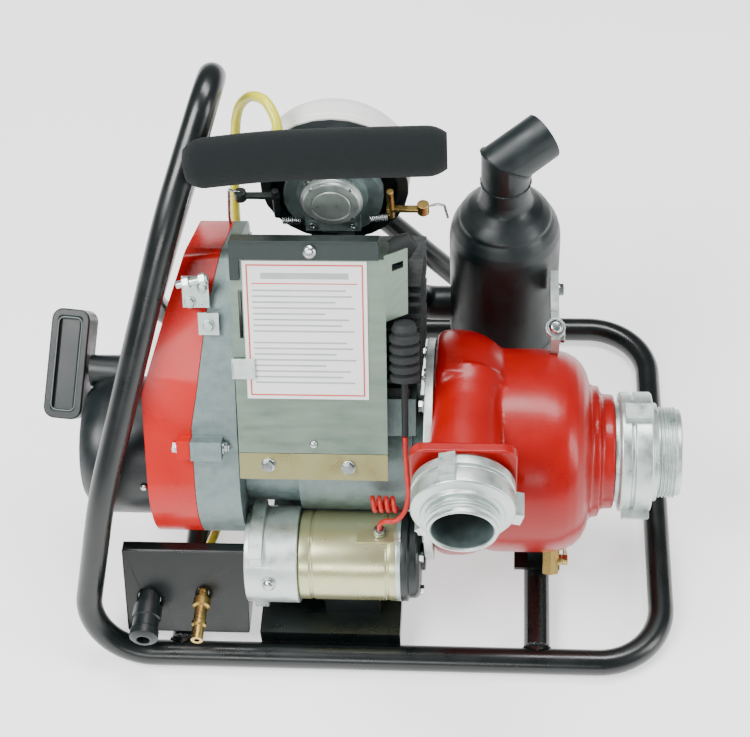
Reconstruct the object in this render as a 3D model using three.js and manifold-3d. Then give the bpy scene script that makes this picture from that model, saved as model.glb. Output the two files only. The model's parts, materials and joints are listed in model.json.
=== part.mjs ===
// Portable fire pump: a two-stroke engine and a centrifugal pump on one shaft,
// carried in a bent-tube frame with a foam-covered handle.
// Millimetres. X runs along the crankshaft from the recoil starter (left) to the
// suction coupling (right), Y runs from the front rail to the back rail, Z is up,
// and Z = 0 is the surface that the frame stands on.
import * as THREE from 'three';
import { mergeVertices } from 'three/addons/utils/BufferGeometryUtils.js';
import Module from 'manifold-3d';

const wasm = await Module();
wasm.setup();
const { Manifold } = wasm;
const V = (x, y, z) => new THREE.Vector3(x, y, z);

// ---------------------------------------------------------------- helpers
function solid(geometry, matrix) {
  let g = geometry.clone();
  g.deleteAttribute('normal');
  g.deleteAttribute('uv');
  if (matrix) g.applyMatrix4(matrix);
  g = mergeVertices(g, 1e-3);
  const p = g.attributes.position.array;
  const src = g.index.array;
  const tri = [];
  let vol = 0;
  for (let i = 0; i < src.length; i += 3) {
    const a = src[i], b = src[i + 1], c = src[i + 2];
    if (a === b || b === c || a === c) continue;
    tri.push(a, b, c);
    const ax = p[3 * a], ay = p[3 * a + 1], az = p[3 * a + 2];
    const bx = p[3 * b], by = p[3 * b + 1], bz = p[3 * b + 2];
    const dx = p[3 * c], dy = p[3 * c + 1], dz = p[3 * c + 2];
    vol += ax * (by * dz - bz * dy) + ay * (bz * dx - bx * dz) + az * (bx * dy - by * dx);
  }
  if (vol < 0) for (let i = 0; i < tri.length; i += 3) [tri[i + 1], tri[i + 2]] = [tri[i + 2], tri[i + 1]];
  return new Manifold(new wasm.Mesh({
    numProp: 3, vertProperties: new Float32Array(p), triVerts: new Uint32Array(tri),
  }));
}

// matrix that takes local +Y to the direction d and the local origin to p
function aim(p, d) {
  const q = new THREE.Quaternion().setFromUnitVectors(V(0, 1, 0), d.clone().normalize());
  return new THREE.Matrix4().compose(p, q, V(1, 1, 1));
}
// matrix from a basis
function basis(x, y, z, p) {
  return new THREE.Matrix4().makeBasis(x, y, z).setPosition(p);
}
function box(x0, x1, y0, y1, z0, z1) {
  const g = new THREE.BoxGeometry(x1 - x0, y1 - y0, z1 - z0);
  g.translate((x0 + x1) / 2, (y0 + y1) / 2, (z0 + z1) / 2);
  return solid(g);
}
function rod(p0, p1, r, seg = 24, r1 = r) {
  const d = p1.clone().sub(p0);
  const g = new THREE.CylinderGeometry(r1, r, d.length(), seg);
  g.translate(0, d.length() / 2, 0);
  return solid(g, aim(p0, d));
}
const rodX = (x0, x1, y, z, r, seg = 32, r1 = r) => rod(V(x0, y, z), V(x1, y, z), r, seg, r1);
// profile: [radius, height] pairs, turned about the line from p along d
function turn(profile, p, d, seg = 40) {
  const g = new THREE.LatheGeometry(profile.map(([r, h]) => new THREE.Vector2(r, h)), seg);
  return solid(g, aim(p, d));
}
// closed ring profile: repeats its first point
const ring = (prof) => [...prof, prof[0]];
function plate(points, depth, matrix, bevel = 0, bevelSegs = 2) {
  const s = new THREE.Shape(points.map(([x, y]) => new THREE.Vector2(x, y)));
  const opt = bevel
    ? { depth: depth - 2 * bevel, bevelEnabled: true, bevelThickness: bevel, bevelSize: bevel, bevelOffset: -bevel, bevelSegments: bevelSegs, curveSegments: 1 }
    : { depth, bevelEnabled: false, curveSegments: 1 };
  const g = new THREE.ExtrudeGeometry(s, opt);
  if (bevel) g.translate(0, 0, bevel);
  return solid(g, matrix);
}
// a polyline whose corners are rounded: list of [x, y, z, radius]
function route(list, step = 10) {
  const out = [];
  const n = list.length;
  for (let i = 0; i < n; i++) {
    const p = V(list[i][0], list[i][1], list[i][2]);
    const r = list[i][3] || 0;
    if (!r || i === 0 || i === n - 1) { out.push(p); continue; }
    const a = V(...list[i - 1].slice(0, 3)).sub(p).normalize();
    const b = V(...list[i + 1].slice(0, 3)).sub(p).normalize();
    const half = Math.acos(THREE.MathUtils.clamp(a.dot(b), -1, 1)) / 2;
    const t = r / Math.tan(half);
    const c = p.clone().add(a.clone().add(b).normalize().multiplyScalar(r / Math.sin(half)));
    const s = p.clone().add(a.clone().multiplyScalar(t)).sub(c);
    const e = p.clone().add(b.clone().multiplyScalar(t)).sub(c);
    const sweep = Math.PI - 2 * half;
    const k = Math.max(2, Math.ceil((sweep * 180) / Math.PI / step));
    const axis = s.clone().cross(e).normalize();
    for (let j = 0; j <= k; j++) out.push(c.clone().add(s.clone().applyAxisAngle(axis, (sweep * j) / k)));
  }
  return out;
}
class Polyline extends THREE.Curve {
  constructor(points) { super(); this.points = points; }
  getPoint(t, target = new THREE.Vector3()) {
    const f = t * (this.points.length - 1);
    const i = Math.min(Math.floor(f + 1e-9), this.points.length - 2);
    return target.copy(this.points[i]).lerp(this.points[i + 1], f - i);
  }
  getPointAt(t, target) { return this.getPoint(t, target); }
  getTangentAt(t, target = new THREE.Vector3()) {
    const n = this.points.length - 1;
    const i = Math.round(t * n);
    const a = this.points[Math.max(i - 1, 0)], c = this.points[Math.min(i + 1, n)], b = this.points[i];
    const u = b.clone().sub(a), v = c.clone().sub(b);
    if (u.lengthSq() < 1e-9) return target.copy(v).normalize();
    if (v.lengthSq() < 1e-9) return target.copy(u).normalize();
    return target.copy(u.normalize().add(v.normalize())).normalize();
  }
}
function tube(points, r, sides = 16) {
  const pts = [];
  for (let i = 0; i < sides; i++) {
    const a = (2 * Math.PI * i) / sides;
    pts.push(new THREE.Vector2(r * Math.cos(a), r * Math.sin(a)));
  }
  const g = new THREE.ExtrudeGeometry(new THREE.Shape(pts), {
    steps: points.length - 1, extrudePath: new Polyline(points), bevelEnabled: false, curveSegments: 1,
  });
  return solid(g);
}
function smooth(points, n) {
  return new THREE.CatmullRomCurve3(points.map((p) => V(...p)), false, 'centripetal').getSpacedPoints(n);
}
// removes all that lies on the +n side of a plane through p
function cutAt(m, p, n) {
  const g = new THREE.BoxGeometry(800, 800, 800);
  g.translate(0, 400, 0);
  return m.subtract(solid(g, aim(p, n)));
}
const union = (...list) => list.reduce((a, b) => a.add(b));

const root = new THREE.Group();
root.name = 'portable_fire_pump';
const groups = {};
function add(group, name, m, colour, roughness, metalness) {
  if (!groups[group]) { groups[group] = new THREE.Group(); root.add(groups[group]); }
  const out = m.getMesh();
  const g = new THREE.BufferGeometry();
  g.setAttribute('position', new THREE.BufferAttribute(new Float32Array(out.vertProperties), 3));
  g.setIndex(new THREE.BufferAttribute(new Uint32Array(out.triVerts), 1));
  g.computeBoundingBox();
  const c = g.boundingBox.getCenter(V(0, 0, 0));
  c.set(Math.round(c.x), Math.round(c.y), Math.round(c.z));
  g.translate(-c.x, -c.y, -c.z);
  g.computeVertexNormals();
  const mesh = new THREE.Mesh(g, new THREE.MeshStandardMaterial({ color: colour, roughness, metalness }));
  mesh.name = name;
  mesh.position.copy(c);
  groups[group].add(mesh);
}

// ------------------------------------------------------------ main sizes
const GAP = 0.3;
const TUBE = 9.5;                 // 19 mm frame tube
const CY = 108, CZ = 122;         // crankshaft and pump axis
const CX = -16;                   // middle of the cylinder along the shaft
const TILT = THREE.MathUtils.degToRad(28);
const A = V(0, Math.sin(TILT), Math.cos(TILT));    // up the cylinder
const B = V(0, Math.cos(TILT), -Math.sin(TILT));   // from the cylinder's front to its back
// a point by its place along the shaft, across and up the cylinder
const E = (x, p, s) => V(x, CY, CZ).addScaledVector(B, p).addScaledVector(A, s);
// box in those coordinates
function ebox(x0, x1, p0, p1, s0, s1) {
  const g = new THREE.BoxGeometry(p1 - p0, s1 - s0, x1 - x0);
  g.translate((p0 + p1) / 2, (s0 + s1) / 2, (x0 + x1) / 2);
  return solid(g, basis(B, A, V(1, 0, 0), V(0, CY, CZ)));
}
const erod = (x0, p0, s0, x1, p1, s1, r, seg = 24, r1 = r) => rod(E(x0, p0, s0), E(x1, p1, s1), r, seg, r1);

const BLACK = 0x16211f, RED = 0xc8281c, ALU = 0xb9c4c0, STEEL = 0x9ba5a2, CAST = 0x6f8482, FOAM = 0x1f2e2f, BRASS = 0xb58b3c;

// ----------------------------------------------------------------- frame
// one bent tube: front rail, left front leg, top bend, left rear leg, back rail, right side
const loopPath = route([
  [-24, 320, TUBE], [-213, 320, TUBE, 46], [-90, 222, 405, 27], [-126.8, 139.9, 323, 200],
  [-184.2, 44.1, 148, 260], [-215, 0, TUBE, 44], [213, 0, TUBE, 48], [213, 320, TUBE, 48], [24, 320, TUBE],
], 15);
const loop = tube(loopPath, TUBE, 12).add(rodX(-27, 27, 320, TUBE, TUBE, 12));
const loopClear = () => tube(loopPath, TUBE + GAP + 0.35, 12);
add('frame', 'frame_loop', loop, BLACK, 0.35, 0.2);

const clear = loopClear();
// cross tube under the pump, with the saddle that the pump body rests in
const cradle = union(
  box(104, 138, 72, 144, 20, 23),
  box(114, 128, 78, 138, 16, 62),
).subtract(rodX(80, 170, CY, CZ, 73.4, 48));
add('frame', 'crossbar_right', rod(V(121, 2, TUBE), V(121, 318, TUBE), TUBE, 16).subtract(clear).add(cradle), BLACK, 0.35, 0.2);
add('frame', 'crossbar_left', rod(V(-140, 2, TUBE), V(-140, 318, TUBE), TUBE, 16).subtract(clear), BLACK, 0.35, 0.2);

// rear brace from the rear leg down to the back rail
const bracePath = route([[-131, 256, 274], [-66, 302, 240, 60], [110, 320, TUBE]], 12);
add('frame', 'rear_brace', tube(bracePath, TUBE - 0.5, 16).subtract(clear), BLACK, 0.35, 0.2);

// handle tube welded to the front leg, and its foam grip
const handlePath = smooth([[-112, 163, 351], [-70, 164.5, 356], [-20, 166.5, 358], [52, 169.5, 358]], 5);
const handleRaw = tube(handlePath, TUBE, 16);
add('frame', 'handle_tube', handleRaw.subtract(clear), BLACK, 0.35, 0.2);
const gripPath = smooth([[-113, 162.9, 350.9], [-60, 164.9, 356.8], [-15, 166.7, 358], [56, 169.7, 358]], 5);
add('frame', 'handle_grip', tube(gripPath, 16.4, 20).subtract(tube(smooth([[-122, 162.6, 349.5], [-112, 163, 351], [-70, 164.5, 356], [-20, 166.5, 358], [52.6, 169.5, 358]], 12), TUBE + 0.9, 14)).subtract(clear), FOAM, 0.9, 0);

// pressed tray across the rails: it carries the engine and the starter saddle
let tray = union(
  box(-82, 21, 10.2, 309.8, 22, 25),
  box(-82, 21, 10.2, 13.2, 4, 25),
  box(-82, 21, 306.8, 309.8, 4, 25),
  box(-82, -79, 10.2, 309.8, 12, 25),
  box(18, 21, 10.2, 309.8, 12, 25),
  box(-34, 6, 28, 64, 24, 50),
);
tray = tray.subtract(rodX(-60, 30, 46, 75, 32.4, 40)).subtract(box(-60, 0, 190, 290, 20, 30));
add('frame', 'engine_tray', tray, BLACK, 0.4, 0.3);

[[-66, 92], [8, 92], [-66, 150], [8, 150]].forEach(([x, y], i) => {
  add('frame', `rubber_mount_${i + 1}`, turn([[0, 0], [11, 0], [8.5, 5], [8.5, 9.4], [11, 14.4], [0, 14.4]], V(x, y, 25.3), V(0, 0, 1), 12), 0x101414, 0.85, 0);
});

// sloping sheet-metal box at the front left, with its fuel and control connectors
const bx = basis(V(0, 1, 0), V(0, 0, 1), V(1, 0, 0), V(-181, 0, 0));
let cbox = plate([[11, 20], [42, 82], [50, 82], [50, 20]], 91, bx)
  .subtract(plate([[14.3, 19], [44, 79.6], [52, 79.6], [52, 19]], 87, basis(V(0, 1, 0), V(0, 0, 1), V(1, 0, 0), V(-179, 0, 0))));
cbox = cbox.subtract(rod(V(-123, 0, 50), V(-123, 60, 50), 4.3, 16)).subtract(rod(V(-163, 0, 45), V(-163, 60, 45), 8.3, 20));
add('frame', 'connector_box', cbox, BLACK, 0.45, 0.2);
add('frame', 'fuel_connector', turn(ring([[2, 0], [4, 0], [4, 18.6], [6.5, 19], [6.5, 25], [4.6, 26], [4.6, 37], [5.6, 38], [5.6, 41], [4.4, 42.5], [4.4, 53], [2, 53]]), V(-123, 40, 50), V(0, -1, 0), 12), BRASS, 0.3, 1);
add('frame', 'remote_connector', turn(ring([[5, 0], [8, 0], [8, 20.8], [10.5, 21.4], [10.5, 31], [9.5, 32], [9.5, 40], [10.5, 41], [10.5, 47], [7.5, 49], [5, 49]]), V(-163, 38, 45), V(0, -1, 0), 14), 0x0f1413, 0.5, 0);

// ---------------------------------------------------------------- engine
// crankcase with feet, a flange for the cylinder and a round crank chamber
let crankcase = union(
  rodX(-49, 31, CY, CZ, 45, 24),
  rodX(-87.7, -48, CY, CZ, 39, 24),
  rodX(30, 39.7, CY, CZ, 39, 24),
  ebox(CX - 50, CX + 50, -44, 44, 30, 57.7),
  box(-78, 20, 80, 162, 40, 48),
  box(-70, -60, 86, 156, 46, 110),
  box(2, 12, 86, 156, 46, 110),
);
crankcase = crankcase
  .subtract(rodX(-90, 42, CY, CZ, 12.5, 14))
  .subtract(rodX(CX - 27, CX + 27, CY, CZ, 37, 18))
  .subtract(erod(CX, 0, 0, CX, 0, 60, 30.5, 16));
add('engine', 'crankcase', crankcase, CAST, 0.5, 0.7);

const PIN = 24;
let crank = union(
  rodX(-147, 56, CY, CZ, 12, 14),
  rodX(55, 92, CY, CZ, 9, 20),
).subtract(rodX(CX - 8, CX + 8, CY, CZ, 14, 14));
crank = union(
  crank,
  erod(CX - 21, 0, 0, CX - 8, 0, 0, 34, 20),
  erod(CX + 8, 0, 0, CX + 21, 0, 0, 34, 20),
  erod(CX - 9, 0, PIN, CX + 9, 0, PIN, 8, 12),
);
add('rotor', 'crankshaft', crank, STEEL, 0.35, 1);

// finned cylinder
const fin = (s, h, x0, x1, p0, p1) => ebox(x0, x1, p0, p1, s, s + h);
let cyl = erod(CX, 0, 58, CX, 0, 128, 35, 18).add(ebox(CX - 46, CX + 46, -42, 42, 58, 65));
for (let i = 0; i < 6; i++) cyl = cyl.add(fin(72 + i * 9.6, 2.6, -70, 38, -50, 50));
cyl = cyl.add(ebox(-4, 34, 30, 52, 80, 110)).subtract(erod(CX, 0, 50, CX, 0, 130, 27.4, 16)).subtract(erod(15, 20, 95, 15, 60, 95, 10, 8));
add('engine', 'cylinder', cyl, 0x1a201f, 0.6, 0.5);
let head = erod(CX, 0, 128.3, CX, 0, 144.7, 35, 18);
for (let i = 0; i < 3; i++) head = head.add(fin(128.3 + i * 7, 2.4, -70, 38, -50, 50));
// the plug leans out to the right of the head
const PD = V(0.8, 0, 0).addScaledVector(A, 0.6).normalize();
const P0 = E(-4, -4, 134);
const along = (h) => P0.clone().addScaledVector(PD, h);
head = head.subtract(erod(CX, 0, 127, CX, 0, 134, 24, 16, 16)).subtract(rod(along(-2), along(20), 7.4, 10)).subtract(rod(along(13), along(60), 11.2, 10));
add('engine', 'cylinder_head', head, 0x1a201f, 0.6, 0.5);
add('engine', 'spark_plug', turn([[0, 0], [6, 0], [6, 14.6], [10, 15], [10, 20], [6, 20.3], [5, 31], [0, 31]], P0, PD, 14), 0xd8d8d0, 0.4, 0.3);
add('engine', 'plug_boot', turn([[6.4, 0], [9.5, 0], [9.5, 14], [6, 22], [0, 22], [0, 12], [6.4, 12], [6.4, 0]], along(21), PD, 14), 0x101312, 0.8, 0);
add('piston', 'piston', turn(ring([[0, 0], [26.8, 0], [26.8, -40], [22.5, -40], [22.5, -6], [0, -6]]).slice(0, 6), E(CX, 0, 127), A, 18), STEEL, 0.4, 1);

// ribbed rubber boot at the front right of the cylinder
const ribs = [[0, 0], [6, 0]];
for (let i = 0; i < 5; i++) ribs.push([10.6, 2 + i * 7], [10.6, 5.5 + i * 7], [8.2, 7 + i * 7]);
ribs.push([9, 38], [7, 42], [0, 42]);
add('engine', 'ignition_boot', turn(ribs, E(27.6, -64.5, 80), A, 10).add(erod(27.6, -64.5, 40, 27.6, -64.5, 81, 2.4, 10)), 0x121615, 0.75, 0);

// fan housing and red fan cover share one scroll outline
function scroll(inset) {
  const r = 62 - inset, pts = [];
  const top = 162 - inset;
  for (let i = 0; i <= 22; i++) {
    const a = Math.PI - (Math.PI * i) / 22 * -1;           // from the front, round the bottom, to the back
    pts.push([r * Math.cos(a), r * Math.sin(a)]);
  }
  pts.push([r + 3, 40], [r + 1, 90], [r - 6, 128], [r - 15, 148]);
  for (let i = 0; i <= 3; i++) { const a = (i / 3) * (Math.PI / 2); pts.push([r - 34 + 12 * Math.cos(a), top - 12 + 12 * Math.sin(a)]); }
  for (let i = 0; i <= 3; i++) { const a = Math.PI / 2 + (i / 3) * (Math.PI / 2); pts.push([-(r - 20) + 10 + 10 * Math.cos(a), top - 10 + 10 * Math.sin(a)]); }
  pts.push([-(r - 8), 130], [-(r - 1), 80], [-(r + 0.5), 40]);
  return pts;
}
const SB = (x) => basis(B, A, V(1, 0, 0), V(x, CY, CZ));
const side = (pts) => plate(pts, 240, basis(V(1, 0, 0), A, B.clone().negate(), V(0, CY, CZ).addScaledVector(B, 120)));
const seam = (off) => side([[-119.5 + off, -90], [0, -90], [0, 200], [-89 + off, 200], [-93 + off, 178], [-106 + off, 124], [-114 + off, 72], [-119.5 + off, 42]]);
let fanHousing = plate(scroll(0), 34, SB(-122)).intersect(seam(0))
  .subtract(plate(scroll(4), 34, SB(-126)))
  .subtract(rodX(-95, -85, CY, CZ, 14, 24))
  .subtract(ebox(-95, -85, -36, 34, 78, 152))
  .subtract(rodX(-95, -85, 46, 75, 13, 12));
fanHousing = fanHousing.add(ebox(-119.4, -98, -73, -60, 22, 36)).subtract(ebox(-121, -92, -58, -50, 20, 40));
add('engine', 'fan_housing', fanHousing, CAST, 0.5, 0.7);
const wedge = (off) => side([[-240, 66], [-153 + off, 66], [-109 + off, 200], [-240, 200]]);
let fanCover = plate(scroll(0), 63, SB(-153)).subtract(wedge(0)).subtract(seam(-0.3))
  .subtract(plate(scroll(3), 70, SB(-150)).subtract(wedge(3.3)))
  .subtract(rodX(-156, -146, CY, CZ, 43, 36));
fanCover = fanCover.add(ebox(-129, -119.8, -72, -59.5, 22, 36)).subtract(ebox(-149, -113, -58.8, -50, 18, 42));
add('engine', 'fan_cover', fanCover, RED, 0.25, 0);

let fly = turn(ring([[12.3, 0], [54, 0], [54, 12], [30, 14], [22, 14], [22, 50], [12.3, 50]]), V(-98, CY, CZ), V(-1, 0, 0), 26);
for (let i = 0; i < 9; i++) {
  const a = (2 * Math.PI * i) / 9;
  const m = new THREE.Matrix4().makeRotationX(a).setPosition(0, CY, CZ);
  const g = new THREE.BoxGeometry(22, 22, 2.4);
  g.translate(-121, 42, 0);
  fly = fly.add(solid(g, m));
}
add('rotor', 'flywheel', fly, STEEL, 0.4, 0.9);

// recoil starter: housing with rope boss, pulley, rope and grip
const ROPE = [148, 157];
let recoil = union(
  turn([[0, 0], [50, 0], [50, 36], [47, 46], [40, 52.5], [0, 52.5]], V(-153.4, CY, CZ), V(-1, 0, 0), 26),
  rodX(-206, -182, ROPE[0], ROPE[1], 12, 14),
).subtract(turn([[0, -1], [46.5, -1], [46.5, 36], [43, 45], [38, 49], [0, 49]], V(-153.4, CY, CZ), V(-1, 0, 0), 20))
  .subtract(rodX(-210, -178, ROPE[0], ROPE[1], 3.4, 14));
for (let i = 0; i < 8; i++) {
  const a = (2 * Math.PI * (i + 0.5)) / 8;
  const m = new THREE.Matrix4().makeRotationX(a).setPosition(0, CY, CZ);
  const g = new THREE.BoxGeometry(12, 16, 5);
  g.translate(-206, 26, 0);
  recoil = recoil.subtract(solid(g, m));
}
recoil = recoil.add(rodX(-204, -160, CY, CZ, 6, 16));
add('engine', 'recoil_cover', recoil, 0x151d1d, 0.45, 0);
add('recoil', 'recoil_pulley', turn(ring([[6.4, 0], [36, 0], [36, 2.5], [31, 4], [31, 8], [36, 9.5], [36, 12], [20, 12], [20, 14], [6.4, 14]]), V(-176, CY, CZ), V(1, 0, 0), 20), 0x1b2020, 0.5, 0);
// the grip stands across the rope, tilted back
const GL = V(0.087, 0.767, 0.636).normalize(), GW = V(0, -0.638, 0.77);
let gripShape = [];
for (const [cx, cy, s] of [[32, 6.5, 0], [-32, 6.5, 1], [-32, -6.5, 2], [32, -6.5, 3]]) {
  for (let j = 0; j <= 3; j++) { const a = ((s + j / 3) * Math.PI) / 2; gripShape.push([cx + 8 * Math.cos(a), cy + 8 * Math.sin(a)]); }
}
const gripAt = V(-236, ROPE[0], ROPE[1]).addScaledVector(GL, 5);
let tgrip = plate(gripShape, 28, basis(GL, GW, GL.clone().cross(GW), gripAt.clone()), 2.5, 2);
if (tgrip.boundingBox().min[0] < -245) tgrip = plate(gripShape, 28, basis(GL, GW, GL.clone().cross(GW), gripAt.clone().add(V(28, 0, 0))), 2.5, 2);
tgrip = tgrip.subtract(rodX(-260, -200, ROPE[0], ROPE[1], 3.2, 14));
{
  const g = new THREE.BoxGeometry(66, 3, 15);
  tgrip = tgrip.subtract(solid(g, basis(GL, GW, GL.clone().cross(GW), V(-222, ROPE[0], ROPE[1]).addScaledVector(GL, 5).addScaledVector(GW, 14))));
}
add('recoil', 'recoil_grip', tgrip, 0x1a2423, 0.55, 0);
add('recoil', 'recoil_rope', rodX(-236, -184, ROPE[0], ROPE[1], 2.6, 12).add(rodX(-236, -232, ROPE[0], ROPE[1], 2.9, 12)), 0xc9c4b0, 0.9, 0);

// intake: manifold, carburettor and air filter
const manifoldPath = route([[CX, 7, 161, 0], [CX, -4, 154.6, 8], [CX, -60.5, 154.6, 12], [CX, -60.5, 52, 12], [CX, -46, 46, 0]], 20)
  .map((q) => E(q.x, q.y, q.z));
add('engine', 'intake_manifold', tube(manifoldPath, 6, 10).subtract(ebox(CX - 12, CX + 12, -44.3, 0, 20, 60)), 0x20282a, 0.6, 0.3);
const KX = -23, KZ = 294;
let carb = union(
  rod(V(KX, 199.7, KZ), V(KX, 190, KZ), 34, 26),
  box(KX - 20, KX + 18, 184.5, 195, KZ - 26, KZ + 26),
  rod(V(KX, 184.1, KZ + 6), V(KX, 194, KZ + 6), 24, 22),
).subtract(rod(V(KX, 202, KZ), V(KX, 186.5, KZ), 11, 20));
add('engine', 'carburettor', carb, 0xa9b2ac, 0.45, 0.9);
add('engine', 'carb_cap', turn([[0, 0], [21, 0], [21, 4], [18.5, 6.5], [6, 8], [0, 8]], V(KX, 183.8, KZ + 6), V(0, -1, 0), 24), 0xd7ddd6, 0.5, 0.4);
add('engine', 'air_filter_base', turn(ring([[12, 0], [43, 0], [43, -7], [51, -7], [51, 6], [12, 6]]), V(KX, 207.2, KZ), V(0, 1, 0), 26).subtract(rod(V(KX, 190, KZ), V(KX, 200, KZ), 34.4, 36)), 0x141a1a, 0.6, 0);
add('engine', 'air_filter_element', turn(ring([[28, 0], [44, 0], [44, 20], [28, 20]]), V(KX, 213.6, KZ), V(0, 1, 0), 24), 0xcfc08a, 0.95, 0);
add('engine', 'air_filter_cover', turn([[48, 0], [51.6, 0], [51.6, 18], [48, 25], [38, 29], [0, 31], [0, 28.5], [37, 26.5], [46, 22.5], [48.6, 17], [48, 0]], V(KX, 213.5, KZ), V(0, 1, 0), 26), 0xe6ebe6, 0.4, 0);
add('throttle', 'throttle_lever', union(
  rod(V(16, 189, 278), V(16, 189, 302), 2.6, 10),
  box(13, 40, 186.6, 191.4, 284, 286.4),
  rod(V(38, 189, 282), V(38, 189, 290), 4.2, 14),
), STEEL, 0.35, 1);
add('choke', 'choke_lever', union(
  rod(V(-62, 189, 278), V(-62, 189, 302), 2.6, 10),
  box(-88, -59, 186.6, 191.4, 296, 298.4),
  rod(V(-86, 189, 294), V(-86, 189, 301), 4.2, 14),
), STEEL, 0.35, 1);

// sheet cowl in front of the fins, its strap, foot bracket, card and clip
let cowl = union(
  ebox(-86, 16, -70.5, -69, 28, 168),
  ebox(-86, -84.5, -70, -40, 60, 168),
  ebox(-86, 16, -70.5, -34, 166.5, 168),
);
{
  const q = E(16, -70.2, 0);
  const dir = V(22, 0, 0).addScaledVector(B, 26).normalize();
  const g = new THREE.BoxGeometry(22, 46, 1.5);
  g.translate(11, 0, 0);
  cowl = cowl.add(solid(g, basis(dir, A, dir.clone().cross(A), E(15, -70, 147.5))));
}
cowl = cowl.subtract(ebox(20, 27, -70, -50, 158, 163)).subtract(ebox(-81.5, -79, -75, -65, 112, 146));
cowl = cowl.add(ebox(-86, 12, -73.4, -70.2, 168.3, 181).add(ebox(-86, 12, -73.4, -60, 178.4, 181)).add(ebox(-86, -80, -73.4, -70.2, 154, 169))).add(ebox(-86, 12, -71.5, -69.2, 167.35, 168.8)).add(ebox(-87.5, -72, -73.8, -71.9, 84, 98).add(ebox(-87.5, -85.6, -73.8, -60, 86, 96)));
add('engine', 'cowl', cowl, 0x8a988e, 0.4, 0.9);
add('engine', 'cowl_foot', ebox(-86, 16, -70.5, -68, 8, 27.6).add(ebox(-80, 12, -69, -44.4, 24.6, 27.6)).subtract(rodX(-90, 20, CY, CZ, 45.4, 40)), 0xb3a878, 0.4, 0.9);
add('engine', 'instruction_card', ebox(-78, 4, -71.6, -70.8, 69, 167), 0xf0efe9, 0.6, 0);

// exhaust
const MX = 94, MY = 240;
const exPath = route([[15, 198.6, 181.6], [17, 222, 171, 18], [30, 240, 132, 18], [58, 240, 132]], 12);
const muffOuter = (g = 0) => [[0, 0 - g], [36 + g, 0 - g], [40.5 + g, 5 - g], [40.5 + g, 122 + g], [38.2 + g, 127 + g], [34.8 + g, 134 + g], [28 + g, 147 + g], [17.5 + g, 157 + g], [17.5 + g, 168 + g], [0, 168 + g]];
const muffler = turn(muffOuter(), V(MX, MY, 94), V(0, 0, 1), 24)
  .subtract(turn([[0, 2.5], [36, 2.5], [38, 5], [38, 121], [32, 132], [14.5, 155], [14.5, 170], [0, 170]], V(MX, MY, 94), V(0, 0, 1), 14))
  .subtract(rod(V(40, 240, 132), V(80, 240, 132), 14.4, 20));
add('engine', 'muffler', muffler, 0x121a19, 0.5, 0.4);
const exRaw = tube(exPath, 13, 14).add(rod(E(15, 52.4, 95), E(15, 58, 95), 18, 20));
add('engine', 'exhaust_pipe', exRaw.subtract(erod(15, 30, 95, 15, 52.3, 95, 30, 20)), 0x181e1d, 0.6, 0.5);
const TD = V(0.79, 0.56, 0.25).normalize();
const T0 = V(MX, MY, 280);
const mitre = TD.clone().add(V(0, 0, 1)).normalize();
function elbow(r) {
  const up = cutAt(rod(V(MX, MY, 262.3), V(MX, MY, 330), r, 24), T0.clone().addScaledVector(mitre, 0.06), mitre);
  const out = cutAt(rod(T0.clone().addScaledVector(TD, -40), T0.clone().addScaledVector(TD, 34), r, 24), T0, mitre.clone().negate());
  return [up, out];
}
const [upO, outO] = elbow(17.5);
const TX = T0.clone().addScaledVector(mitre, 0.08);
const bore = union(
  cutAt(rod(V(MX, MY, 255), V(MX, MY, 330), 15, 16), TX, mitre),
  cutAt(rod(T0.clone().addScaledVector(TD, -40), T0.clone().addScaledVector(TD, 60), 15, 20), T0, mitre.clone().negate()),
);
add('engine', 'tail_elbow', upO.add(outO).subtract(bore), 0x1b2a2c, 0.55, 0.3);
const stay = box(127, 133, 148, 214, 176, 198).subtract(rodX(80, 170, CY, CZ, 73.3, 48)).subtract(rod(V(MX, MY, 90), V(MX, MY, 250), 40.9, 44));
add('pump', 'muffler_stay', stay.add(rod(V(130, 158, 197), V(130, 154, 204), 7, 12)), ALU, 0.4, 0.9);

// starter motor
const SY = 46, SZ = 75;
add('starter', 'starter_body', rodX(-49.7, 22.7, SY, SZ, 32, 30).subtract(rodX(-52, 25, SY, SZ, 28.3, 20)).add(rod(V(8, 44, 105), V(8, 44, 111), 4, 14)).add(box(-8, 18, 36, 52, 103.5, 107)), 0xc7bf88, 0.3, 1);
let drive = union(
  rodX(-87.7, -50, SY, SZ, 35, 28),
  box(-84, -74, 20, 72, 34, 112).intersect(rodX(-87, -50, SY, SZ, 42, 8)),
).subtract(rodX(-84, -48, SY, SZ, 30, 20)).subtract(rodX(-90, -80, SY, SZ, 13, 12));
add('starter', 'starter_drive_housing', drive, 0xb7bfbd, 0.45, 0.9);
add('starter', 'starter_end_cap', turn([[0, 0], [32.4, 0], [32.4, 5], [30, 5.4], [30, 11], [27, 13.5], [10, 14], [10, 17], [0, 17]], V(23, SY, SZ), V(1, 0, 0), 24).subtract(rodX(20, 32, SY, SZ, 5.4, 16)), 0x1c2222, 0.5, 0.2);
add('starter_rotor', 'starter_armature', union(
  rodX(-38, 16, SY, SZ, 25, 18),
  rodX(-83, 30, SY, SZ, 5, 10),
  rodX(-80, -66, SY, SZ, 11, 14),
), 0x8a5a3a, 0.5, 0.8);

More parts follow.
